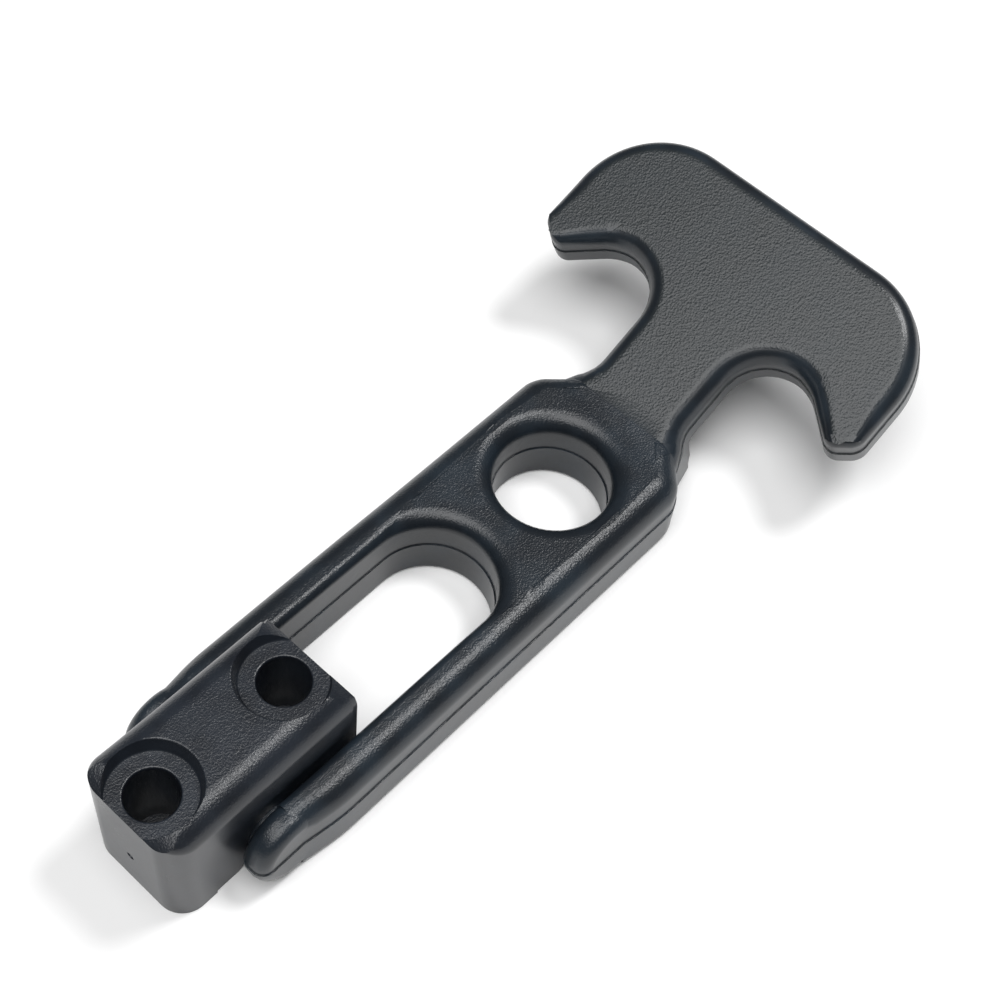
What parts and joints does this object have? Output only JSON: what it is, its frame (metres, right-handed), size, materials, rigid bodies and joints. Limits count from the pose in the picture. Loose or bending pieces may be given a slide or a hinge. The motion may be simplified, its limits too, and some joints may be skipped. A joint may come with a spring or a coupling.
{
  "type": "flexible T-handle draw latch",
  "caption": "Flexible T-handle draw latch: a rubber handle with an oblong slot, a keeper hole and a raised T grip, hinged on a screw-down plastic bracket.",
  "frame": {"origin": "middle of the two screw holes on the mounting face, under the hinge axis", "axes": "+X from the bracket to the T grip, along the handle as it lies flat; +Z out of the mounting face"},
  "size_m": [0.1552, 0.07, 0.0333],
  "materials": {
    "bracket_nylon": "satin moulded, black",
    "handle_rubber": "fine leathery grain, black",
    "pin_steel": "drawn bar"
  },
  "bodies": {
    "bracket_body": {"bracket": "bracket_nylon"},
    "handle_body": {"t_handle": "handle_rubber", "hinge_pin": "pin_steel"}
  },
  "joints": [
    {"name": "handle_hinge", "type": "hinge", "parent": "bracket_body", "child": "handle_body", "pos_m": [0, 0, 0.007], "axis": [0, -1, 0], "range_deg": [0, 165]}
  ]
}
